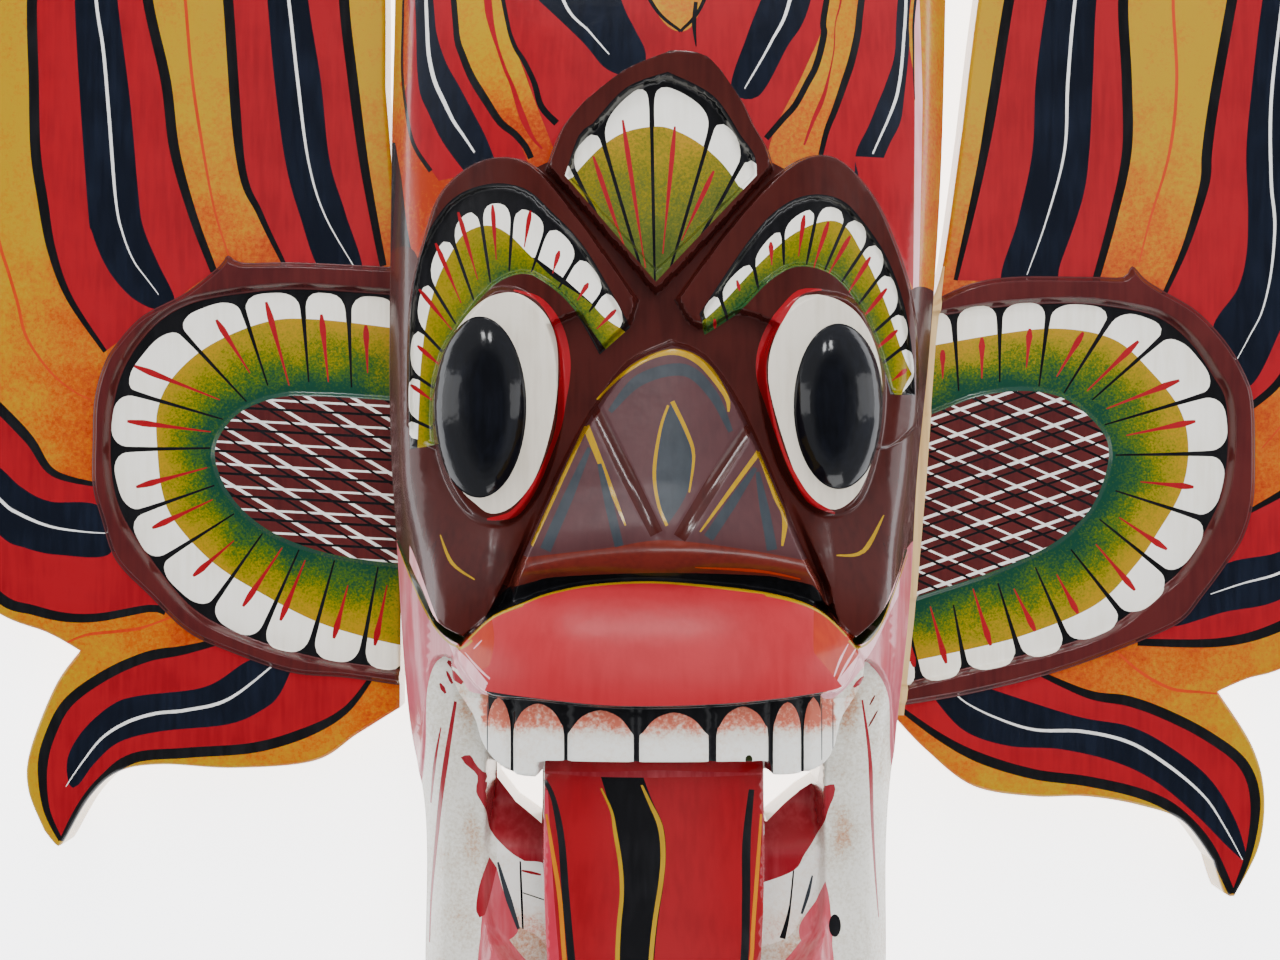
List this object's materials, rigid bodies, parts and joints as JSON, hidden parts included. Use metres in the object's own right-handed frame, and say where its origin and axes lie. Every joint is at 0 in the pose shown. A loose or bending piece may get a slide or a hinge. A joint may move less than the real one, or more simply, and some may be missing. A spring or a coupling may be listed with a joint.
{
  "type": "raksha mask",
  "caption": "Carved and painted wooden demon mask with a flame crown, bulging eyes, bared teeth, hanging tongue and flat flame-shaped ear boards.",
  "frame": {"origin": "middle of the mask's box, on the flat rim of its hollow back", "axes": "+Z out of the face, +Y towards the crown, +X on the viewer's right; the mask lies on its back"},
  "size_m": [0.444, 0.4934, 0.0982],
  "materials": {
    "painted_head": "gloss enamel on light carved wood, bare inside",
    "painted_board": "gloss enamel on a light sawn board, bare behind"
  },
  "bodies": {
    "root": {"head": "painted_head", "wing_left": "painted_board", "wing_right": "painted_board"}
  },
  "joints": []
}
